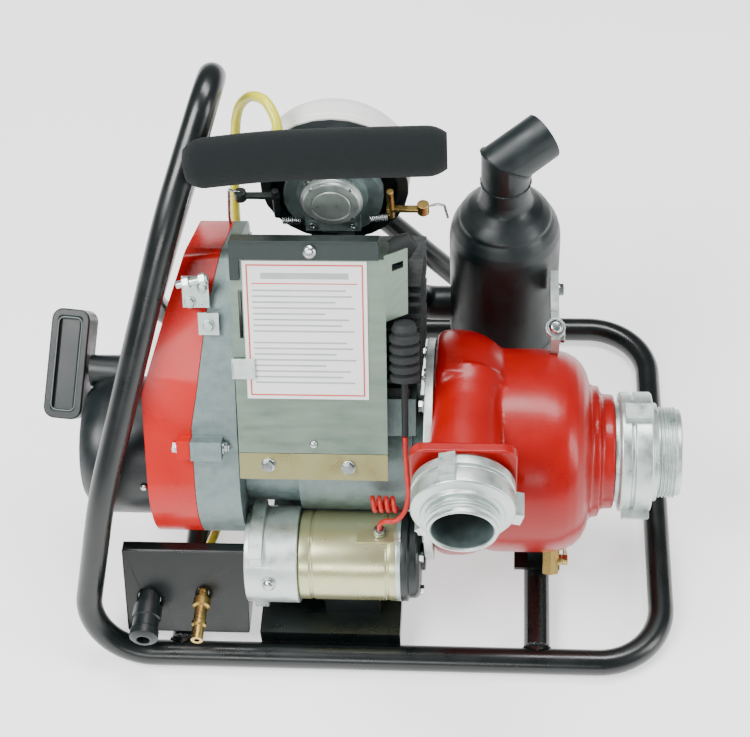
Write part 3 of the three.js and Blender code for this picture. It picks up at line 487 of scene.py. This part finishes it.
dis = [g_lathe(cpl(27, 35, 23, 25.3, 42, 21), V(DX, 36, DZ), -YY, 96)]
for deg in (105, 225, 345):
    a = math.radians(deg)
    rd = Vector((math.cos(a), 0, math.sin(a)))
    dis.append(g_box(V(DX, 21, DZ) + rd * 35.2 * K, 5.5, 5.5, 9.5, (rd, Vector((-rd.z, 0, rd.x)), YY)))
piece("discharge_coupling", join(*dis), "alloy_pale", repl=("discharge_adapter",), bevel=0.6)
suc = [g_lathe(cpl(36, 43, 23, 32.5, 47, 26), V(173, CY, CZ), XX, 108)]
for deg in (90, 210, 330):
    a = math.radians(deg)
    rd = Vector((0, math.cos(a), math.sin(a)))
    suc.append(g_box(V(188.5, CY, CZ) + rd * 42.5 * K, 5.5, 6.5, 9.5, (rd, Vector((0, -rd.z, rd.y)), XX)))
piece("suction_coupling", join(*suc), "alloy_pale", repl=("suction_adapter",), bevel=0.6)

# pump body: cast shell with soft fillets, bored through
def remeshed(name, geo, cutters, mat, voxel, its, repl):
    def raw(nm, g):
        me = bpy.data.meshes.new(nm)
        me.from_pydata([tuple(q) for q in g[0]], [], g[1])
        bm = bmesh.new()
        bm.from_mesh(me)
        bmesh.ops.recalc_face_normals(bm, faces=bm.faces)
        bm.to_mesh(me)
        bm.free()
        ob = bpy.data.objects.new(nm, me)
        bpy.context.scene.collection.objects.link(ob)
        return ob
    ob = raw(name + "_raw", geo)
    m = ob.modifiers.new("r", "REMESH")
    m.mode = "VOXEL"
    m.voxel_size = voxel * K
    q = ob.modifiers.new("s", "SMOOTH")
    q.factor = 0.5
    q.iterations = its
    cs = []
    for i, c in enumerate(cutters):
        co_ = raw(f"{name}_cut{i}", c)
        bo = ob.modifiers.new(f"b{i}", "BOOLEAN")
        bo.operation = "DIFFERENCE"
        bo.solver = "FAST"
        bo.object = co_
        cs.append(co_)
    bpy.context.view_layer.update()
    dg = bpy.context.evaluated_depsgraph_get()
    me = bpy.data.meshes.new_from_object(ob.evaluated_get(dg))
    me.name = name
    for c in [ob] + cs:
        bpy.data.objects.remove(c, do_unlink=True)
    me.materials.clear()
    me.materials.append(M[mat])
    shade(me, 50)
    out = bpy.data.objects.new(name, me)
    bpy.context.scene.collection.objects.link(out)
    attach(out, ROOT)
    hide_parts(*repl)
    return out


vol = []
for i in range(97):
    f = i / 96
    a = math.pi * 0.86 + f * math.pi * 1.64
    rr = 73 + 16 * f
    vol.append((rr * math.cos(a), rr * math.sin(a)))


def inset(pts, d):
    return [(x * (1 - d / math.hypot(x, y)), y * (1 - d / math.hypot(x, y))) for x, y in pts]


def g_loft(layers):
    """layers: (x in mm, outline in Y-Z mm round the axis)"""
    n = len(layers[0][1])
    vs, fs = [], []
    for x, o in layers:
        vs += [V(x, CY + a, CZ + b) for a, b in o]
    for j in range(len(layers) - 1):
        for i in range(n):
            k = (i + 1) % n
            fs.append((j * n + i, j * n + k, (j + 1) * n + k, (j + 1) * n + i))
    fs.append(tuple(range(n))[::-1])
    fs.append(tuple((len(layers) - 1) * n + i for i in range(n)))
    return vs, fs


LY = [(46.6, 5.5), (48, 3.2), (50.5, 1.3), (54, 0.3), (59, 0), (66, 0.2), (73, 1.4), (80, 4), (86, 7.6), (91, 11.6), (95.5, 16), (98, 20)]
body = join(
    g_loft([(x, inset(vol, d)) for x, d in LY]),
    g_lathe([(0, 84), (72, 84), (73, 90), (73.1, 110), (73, 124), (72.4, 131), (70.8, 138.5), (67.4, 145), (62, 150.3), (56, 153.4), (47.8, 155.6), (47, 157), (47, 162), (41.6, 163), (41, 164), (41, 172.6), (0, 172.6)], V(0, CY, CZ), XX, 120),
    g_lathe([(0, 0), (25, 0), (25.2, 50), (26.5, 62), (29, 74), (0, 74)], V(DX, 42, DZ), YY, 72))
remeshed("pump_body", body, [g_lathe([(0, 0), (19, 0), (19, 66), (0, 66)], V(DX, 38, DZ), YY, 64), g_lathe([(0, 0), (25, 0), (25, 40), (0, 40)], V(140, CY, CZ), XX, 72)], "pump_red", 1.5, 7, ("volute_casing", "suction_cover"))
fo_ = []
for cx, cz, q in ((26, 22, 0), (-26, 22, 1), (-26, -22, 2), (26, -22, 3)):
    for j in range(9):
        a = (q + j / 8) * math.pi / 2
        fo_.append((cx + 10 * math.cos(a), cz + 10 * math.sin(a)))
def edge_at(o, a):
    dx, dz = math.cos(a), math.sin(a)
    best = 0
    for i in range(len(o)):
        x0, z0 = o[i]
        x1, z1 = o[(i + 1) % len(o)]
        den = dx * (z1 - z0) - dz * (x1 - x0)
        if abs(den) < 1e-9:
            continue
        t = (x0 * (z1 - z0) - z0 * (x1 - x0)) / den
        q = (x0 * dz - z0 * dx) / den
        if t > best and -1e-6 <= q <= 1 + 1e-6:
            best = t
    return best


fv, ff = [], []
NR = 160
for rad, yy in (("o", 44.3), ("o", 36.3), ("i", 36.3), ("i", 44.3)):
    for i in range(NR):
        a = 2 * math.pi * i / NR
        q = edge_at(fo_, a) if rad == "o" else 19.0
        fv.append(V(DX + q * math.cos(a), yy, DZ + q * math.sin(a)))
for j in range(4):
    for i in range(NR):
        k = (i + 1) % NR
        m = (j + 1) % 4
        ff.append((j * NR + i, j * NR + k, m * NR + k, m * NR + i))
piece("pump_flange", (fv, ff), "pump_red", bevel=1.6, angle=40, repl=("discharge_neck",))

# recoil grip with a recessed panel
GL = Vector((0.087, 0.767, 0.636)).normalized()
GW = Vector((0, -0.638, 0.77)).normalized()
GN = GL.cross(GW).normalized()
gc = V(-222, 148, 157) + GL * 0.005
go = []
for cx, cy, q in ((6, 32, 0), (-6, 32, 1), (-6, -32, 2), (6, -32, 3)):
    for j in range(7):
        a = (q + j / 6) * math.pi / 2
        go.append((cx + 8 * math.cos(a), cy + 8 * math.sin(a)))
gm = bpy.data.meshes.new("pull_handle")
gv, gf = g_plate(go, 28.4, gc - GW * 14.2 * K, GN, GL, GW)
gm.from_pydata([tuple(q) for q in gv], [], gf)
bm = bmesh.new()
bm.from_mesh(gm)
bmesh.ops.recalc_face_normals(bm, faces=bm.faces)
bm.faces.ensure_lookup_table()
tf = max(bm.faces, key=lambda q: q.calc_center_median().dot(GW) if len(q.verts) > 8 else -9)
bmesh.ops.inset_region(bm, faces=[tf], thickness=0.0058)
bmesh.ops.inset_region(bm, faces=[tf], thickness=0.0009)
bmesh.ops.translate(bm, verts=list(tf.verts), vec=-GW * 0.0026)
bm.to_mesh(gm)
bm.free()
gm.materials.append(M["plastic_black"])
shade(gm, 38)
gob = bpy.data.objects.new("pull_handle", gm)
bpy.context.scene.collection.objects.link(gob)
bv = gob.modifiers.new("bevel", "BEVEL")
bv.width = 0.0022
bv.segments = 3
bv.limit_method = "ANGLE"
bv.angle_limit = math.radians(50)
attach(gob, "recoil_handle")
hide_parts("recoil_grip")
# painted highlight: a thin grey ring on the black grip's face along the recess rim, where the rim catches light
ro = []
for cx, cy, q in ((4.4, 29.6, 0), (-4.4, 29.6, 1), (-4.4, -29.6, 2), (4.4, -29.6, 3)):
    for j in range(7):
        a = (q + j / 6) * math.pi / 2
        ro.append(gc + GW * 14.25 * K + GN * (cx + 4.2 * math.cos(a)) * K + GL * (cy + 4.2 * math.sin(a)) * K)
ro.append(ro[0])
piece("grip_rim_highlight", g_sweep(ro, 0.45, 8), "recess_rim_highlight", body="recoil_handle", angle=60)

# a few turns of spare starter wire
coil = []
for i in range(76):
    t = 2 * math.pi * i / 20
    coil.append(V(3 + 0.235 * i, 52 + 4.6 * math.cos(t), 131 + 4.6 * math.sin(t)))
piece("wire_coil", g_sweep(coil, 1.7, 12), "wire_red", angle=60)

# small bracket, screws and cable adjuster on top of the fan cover
bits0 = [g_box(E(-112, -57.6, 140), 9, 0.9, 11, (XX, PX, AX)), g_box(E(-104, -59.5, 118), 7, 0.8, 8, (XX, PX, AX)),
         g_lathe(soft([(0, 0), (2.6, 0), (2.6, 22), (0, 22)], 0.5), E(-124, -62, 146), (XX + AX * 0.25).normalized(), 24),
         g_lathe([(0, 0), (4.4, 0), (4.4, 4), (0, 4)], E(-119, -62, 147.2), (XX + AX * 0.25).normalized(), 6),
         g_lathe([(0, 0), (4.4, 0), (4.4, 4), (0, 4)], E(-108, -62, 150), (XX + AX * 0.25).normalized(), 6),
         g_bolt(E(-116, -58.6, 133), -PX, 4.2, "hex"), g_bolt(E(-107, -58.6, 144), -PX, 4.2, "round"), g_bolt(E(-104, -60.4, 117), -PX, 4.4, "hex")]
piece("cable_bracket", join(*bits0), "pale_edge", bevel=0.3)

# recoil rope, a straight cord out of its guide towards the grip
# sheet strap over the cowl's top edge and the card's clip
piece("cowl_top_strap", join(g_box(E(-37, -72.1, 174.7), 49.2, 1.5, 6.5, (XX, PX, AX)), g_box(E(-37, -66.7, 179.8), 49.2, 6.9, 1.5, (XX, PX, AX)), g_box(E(-83, -72.1, 161.5), 3.2, 1.5, 7.7, (XX, PX, AX))), "steel_dark", bevel=0.4)
piece("card_spring_clip", join(g_box(E(-79.75, -72.9, 91), 7.9, 1.1, 7.2, (XX, PX, AX)), g_box(E(-86.8, -67, 91), 0.9, 7, 5.2, (XX, PX, AX))), "alloy_pale", bevel=0.4)
# water ways: darker, duller grey sleeves lining the coupling bores, painted shade inside the pipes
piece("discharge_bore", g_lathe([(20.4, 0), (20.95, 0), (20.95, 38), (20.4, 38)], V(DX, 34, DZ), -YY, 72), "bore_painted_shade")
piece("suction_bore", g_lathe([(25.4, 0), (25.95, 0), (25.95, 43), (25.4, 43)], V(175, CY, CZ), XX, 72), "bore_painted_shade")
rope_pts = [V(-184 - 1.3 * i, 148, 157) for i in range(41)]
rope = piece("pull_cord", g_sweep(rope_pts, [2.5 + 0.12 * (i % 2) for i in range(41)], 16), "rope", repl=("recoil_rope",), ride=False)
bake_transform(rope)

# muffler shell with its seams and domed cap
mo = V(94, 240, 0)
piece("muffler_shell", g_lathe(soft([(0, 94), (34, 94), (39, 96.5), (40.5, 101), (40.5, 108), (41.3, 109), (41.3, 112), (40.5, 113), (40.5, 205), (40.1, 212), (38.4, 219), (35.4, 225), (33.4, 227.8), (33.0, 229.8), (31.2, 232.2), (26.5, 237), (22.5, 240), (19.8, 242.6), (18.3, 246), (17.5, 250), (17.5, 262.2), (0, 262.2)], 1.2), mo, ZZ, 96), "exhaust_black", repl=("muffler",))
TD = Vector((0.79, 0.56, 0.25)).normalized()
T0 = V(94, 240, 280)
mitre = (TD + ZZ).normalized()


def elbow_rings(r, z0, L, seg=72):
    u, v, _ = basis(ZZ)
    A, B, C = [], [], []
    for i in range(seg):
        a = 2 * math.pi * i / seg
        d = u * math.cos(a) + v * math.sin(a)
        q = V(94, 240, z0) + d * r * K
        m = T0 + d * r * K
        m = m + ZZ * (-(m - T0).dot(mitre) / mitre.z)
        A.append(q)
        B.append(m)
        C.append(m + TD * (L * K - (m - T0).dot(TD)))
    return A, B, C


seg = 72
A1, B1, C1 = elbow_rings(17.5, 262.3, 34)
A2, B2, C2 = elbow_rings(15.0, 262.3, 34)
C1b = [c + (T0 + TD * 34 * K - c).normalized() * 0.0006 for c in C1]
C1a = [c - TD * 0.0007 for c in C1]
rings = [A1, B1, C1a, C1b, C2, B2, A2]
vs = [q for ring in rings for q in ring]
fs = []
for j in range(len(rings)):
    k = (j + 1) % len(rings)
    for i in range(seg):
        m = (i + 1) % seg
        fs.append((j * seg + i, k * seg + i, k * seg + m, j * seg + m))
piece("elbow", (vs, fs), "exhaust_black", repl=("tail_elbow",), angle=30)
mpts = [q + (q - T0).normalized() * 0.0001 for q in B1] + [B1[0] + (B1[0] - T0).normalized() * 0.0001]
piece("muffler_welds", join(g_sweep(mpts, [0.9 + 0.18 * math.sin(i * 2.1) for i in range(len(mpts))], 8), weld(V(94, 240, 262.4), ZZ, 17.4, 1.1)), "exhaust_black")

# starter motor
SY, SZ = 46, 75
sp = soft([(28.4, 0), (31.2, 0), (32, 1.0), (32, 8), (31.3, 8.6), (31.3, 10), (32, 10.6), (32, 62), (31.3, 62.6), (31.3, 64), (32, 64.6), (32, 72.4), (28.4, 72.4)], 0.4)
st = [g_lathe(sp, V(-49.7, SY, SZ), XX, 96), g_box(V(5, 44, 105.2), 13, 8, 1.7), g_lathe(soft([(0, 0), (4, 0), (4, 6), (0, 6)], 0.4), V(8, 44, 105), ZZ, 32)]
piece("starter_can", join(*st), "starter_gold", repl=("starter_body",), bevel=0.3)
piece("starter_cap", g_lathe(soft([(0, 0), (32.4, 0), (32.4, 4.6), (31.6, 5.4), (30, 5.8), (30, 10.6), (28.6, 12.6), (27, 13.5), (10, 14), (10, 17), (0, 17)], 0.8), V(23, SY, SZ), XX, 96), "plastic_black", repl=("starter_end_cap",))
piece("starter_band", g_lathe(soft([(31.4, 0), (32.3, 0), (32.3, 3.4), (31.4, 3.4)], 0.3), V(19.6, SY, SZ), XX, 96), "pale_edge")
bs = []
for a in (35, 125, 215, 305):
    a = math.radians(a)
    bs.append(g_bolt(V(36.4, SY + 24 * math.cos(a), SZ + 24 * math.sin(a)), XX, 4.6, "hex", washer=False))
bs.append(g_bolt(V(8, 44, 108.6), ZZ, 5, "hex"))
bs.append(g_bolt(V(-70, SY - 33.0, SZ + 11.0), Vector((0, -0.95, 0.3)), 5.5, "round"))

# bolts on the cowl, foot, strap and lugs
FR = -PX
bs += [g_bolt(E(-33, -73.4, 174.5), FR, 6, "round", washer=False), g_bolt(E(-66, -70.5, 19), FR, 5.2, "hex"), g_bolt(E(-11, -70.5, 18), FR, 5.2, "hex"), g_bolt(E(-34.5, -70.5, 35), FR, 3.6, "round", washer=False)]
bs += [g_bolt(E(-129.2, -66, 29), -XX, 4.6, "hex"), g_lathe(soft([(0, 0), (2.3, 0), (2.3, 39), (0, 39)], 0.4), E(-132, -66, 29), XX, 24), g_bolt(E(-97.8, -66, 29), XX, 4.6, "hex")]
# pump seam studs
for a in (62, 84, 104, 128, 152, 176, 330, 350):
    r = math.radians(a)
    bs.append(g_bolt(V(39.9, CY + 74.5 * math.cos(r), CZ + 74.5 * math.sin(r)), -XX, 5, "hex"))
# muffler stay, exhaust flange, mounts
bs += [g_bolt(V(130, 154, 204), Vector((0, -0.5, 0.87)), 6.4, "round"), g_bolt(V(133, 205, 187), XX, 5.2, "hex"), g_bolt(V(133, 160, 187), XX, 5.2, "hex")]
for dx, ds in ((-13, 0), (13, 0)):
    bs.append(g_bolt(E(15 + dx, 58, 95 + ds), PX, 4.4, "hex"))
# recoil cover rim screws
for a in (20, 92, 164, 236, 308):
    r = math.radians(a)
    bs.append(g_bolt(V(-158.5, CY + 50.6 * math.cos(r), CZ + 50.6 * math.sin(r)), Vector((0, math.cos(r), math.sin(r))), 3.4, "round", washer=False, h=1.8))
# carburettor screws
KX, KZ = -23, 294
for x, z in ((-38, 274), (-10, 274), (-38, 314), (-10, 314)):
    bs.append(g_bolt(V(x, 184.5, z), -YY, 3.6, "socket", washer=False))
for a in (45, 135, 225, 315):
    r = math.radians(a)
    bs.append(g_bolt(V(KX + 18 * math.cos(r), 179.2, KZ + 6 + 18 * math.sin(r)), -YY, 2.8, "round", washer=False, h=1.6))
# tray and crossbar bolts
for x, y in ((-66, 92), (8, 92), (-66, 150), (8, 150)):
    bs.append(g_bolt(V(x, y + 0.0, 48.0), ZZ, 5.0, "hex") if False else g_lathe(soft([(0, 0), (5, 0), (5, 2.4), (0, 2.4)], 0.3), V(x, y, 18.6), ZZ, 6))
piece("fasteners", join(*bs), "steel", bevel=0.0, angle=32)

# blank instruction card: a thin border and plain ruled lines
cx0, cx1, cs0, cs1 = -78, 4, 69, 167


def flat(x0, x1, s0, s1, p=-71.62, t=0.12):
    return g_box(E((x0 + x1) / 2, p - t / 2, (s0 + s1) / 2), (x1 - x0) / 2, (s1 - s0) / 2, t / 2, (XX, AX, PX))


red = [flat(cx0 + 2.4, cx1 - 2.4, cs1 - 3.4, cs1 - 2.4), flat(cx0 + 2.4, cx1 - 2.4, cs0 + 2.4, cs0 + 3.4), flat(cx0 + 2.4, cx0 + 3.4, cs0 + 3.4, cs1 - 3.4), flat(cx1 - 3.4, cx1 - 2.4, cs0 + 3.4, cs1 - 3.4)]
red.append(flat(cx0 + 6, cx1 - 6, cs1 - 16, cs1 - 15.3))
piece("card_border", join(*red), "ink_red")
gl = []
s = cs1 - 21
k = 0
while s > cs0 + 8:
    w = (62, 66, 55, 68, 48, 64, 59, 67, 40)[k % 9]
    if k % 9 != 8:
        gl.append(flat(cx0 + 6, cx0 + 6 + w, s, s + 1.1))
    s -= 4.1
    k += 1
gl.append(flat(cx0 + 12, cx1 - 12, cs1 - 12.4, cs1 - 8.2))
piece("card_rules", join(*gl), "ink_grey")

# hose clips, linkage rods and springs round the carburettor
def clip(pts, i, r=4.1, n=2.6):
    w = (pts[i + 1] - pts[i - 1]).normalized()
    return join(g_lathe(soft([(3.52, 0), (r + 0.4, 0), (r + 0.4, n), (3.52, n)], 0.2), pts[i] - w * n / 2 * K, w, 32))


bits = [clip(hose_pts, 4), clip(hose_pts, 235)]
bits.append(g_sweep(route([[40, 189, 288], [48, 190, 289], [52, 196, 282, 4], [54, 204, 262]]), 0.9, 10))
bits.append(g_sweep(route([[-86, 189, 300], [-92, 190, 301], [-95, 196, 296, 4], [-99, 203, 262], [-99, 205, 244]]), 1.0, 10))


def helix(a, b, R, r, turns, n=14):
    w = (b - a)
    u, v, d = basis(w)
    pts = []
    m = int(turns * n)
    for i in range(m + 1):
        t = 2 * math.pi * i / n
        pts.append(a + w * (i / m) + (u * math.cos(t) + v * math.sin(t)) * R * K)
    return g_sweep(pts, r, 8)


bits.append(helix(V(-58, 183.5, 279), V(-46, 183.5, 279), 2.3, 0.45, 9))
bits.append(helix(V(2, 183.5, 281), V(14, 185.5, 281), 2.2, 0.45, 9))
piece("linkage", join(*bits), "steel", angle=60)
# ribs and rim on the carburettor's cap
cap = [g_lathe(soft([(0, 0), (21, 0), (21, 3.6), (19.4, 4.2), (18.8, 6.0), (14, 7.2), (13.2, 6.6), (12.2, 7.4), (6, 8), (0, 8)], 0.5), V(KX, 183.8, KZ + 6), -YY, 80)]
piece("carb_disc", join(*cap), "alloy_pale", repl=("carb_cap",))
# smooth filter cover
piece("filter_cover", g_lathe(soft([(48.2, 0), (51.6, 0), (51.6, 3), (51.0, 3.6), (51.0, 5.2), (51.6, 5.8), (51.4, 16), (50, 21), (47, 25), (42, 28), (36, 29.6), (30, 30.2), (29, 29.4), (27.6, 30.4), (0, 31), (0, 28.5), (37, 26.5), (46, 22.5), (48.6, 17)], 1.0), V(KX, 213.5, KZ), YY, 120), "plastic_white", repl=("air_filter_cover",))
# drain slot as a near-black box of painted shade, switched off and not built
piece("box_slot", g_box(V(-142, 10.9, 19.9), 20, 0.35, 2.0, (XX, Vector((0, 0.447, 0.894)), Vector((0, -0.894, 0.447)))), "slot_painted_shade") if False else None


# ---------------------------------------------------------------- stage, camera, lights
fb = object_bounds()
floor = bpy.data.meshes.new("floor")
floor.from_pydata([(-4, -4, -0.0002), (4, -4, -0.0002), (4, 4, -0.0002), (-4, 4, -0.0002)], [], [(0, 1, 2, 3)])
fo = bpy.data.objects.new("floor", floor)
bpy.context.scene.collection.objects.link(fo)
fm = material("floor_pale", (244, 245, 244), 0.8, 0.0, alt=(242, 243, 242), scale=2, grain=300, bump=0.02, rvar=0.03, spec=0.2)
fb_ = fm.node_tree.nodes["Principled BSDF"]
fb_.inputs["Emission Color"].default_value = (1, 1, 1, 1)
fb_.inputs["Emission Strength"].default_value = 0.9
floor.materials.append(fm)


def area(name, loc, target, size, power, col=(1, 1, 1)):
    ld = bpy.data.lights.new(name, "AREA")
    ld.shape = "RECTANGLE"
    ld.size = size[0]
    ld.size_y = size[1]
    ld.energy = power
    ld.color = col
    lo = bpy.data.objects.new(name, ld)
    bpy.context.scene.collection.objects.link(lo)
    lo.location = loc
    d = Vector(target) - Vector(loc)
    lo.rotation_euler = d.to_track_quat("-Z", "Y").to_euler()
    return lo


area("key", (-0.9, -0.5, 1.5), (0, 0.15, 0.15), (0.8, 0.8), 40)
area("top", (0.15, 0.5, 1.7), (0, 0.15, 0.15), (1.2, 0.4), 26)
area("right", (1.4, -0.3, 0.7), (0, 0.15, 0.15), (0.4, 0.9), 12)
area("front", (-0.3, -1.6, 0.8), (0, 0.1, 0.15), (0.9, 0.3), 9)
world = bpy.data.worlds.new("studio")
bpy.context.scene.world = world
world.use_nodes = True
world.node_tree.nodes["Background"].inputs["Color"].default_value = (0.96, 0.98, 1.0, 1)
world.node_tree.nodes["Background"].inputs["Strength"].default_value = 0.27

cam = bpy.data.cameras.new("camera")
cam.lens = 84.10
cam.sensor_width = 36
cam.sensor_fit = "HORIZONTAL"
co = bpy.data.objects.new("camera", cam)
bpy.context.scene.collection.objects.link(co)
r_ = Vector((0.99749, 0.05382, -0.04610))
u_ = Vector((-0.01230, 0.77213, 0.63535))
b_ = Vector((0.06979, -0.63319, 0.77085))
O_ = Vector((0.08982, -0.65118, 1.13655))
co.matrix_world = Matrix(((r_.x, u_.x, b_.x, O_.x), (r_.y, u_.y, b_.y, O_.y), (r_.z, u_.z, b_.z, O_.z), (0, 0, 0, 1)))
bpy.context.scene.camera = co
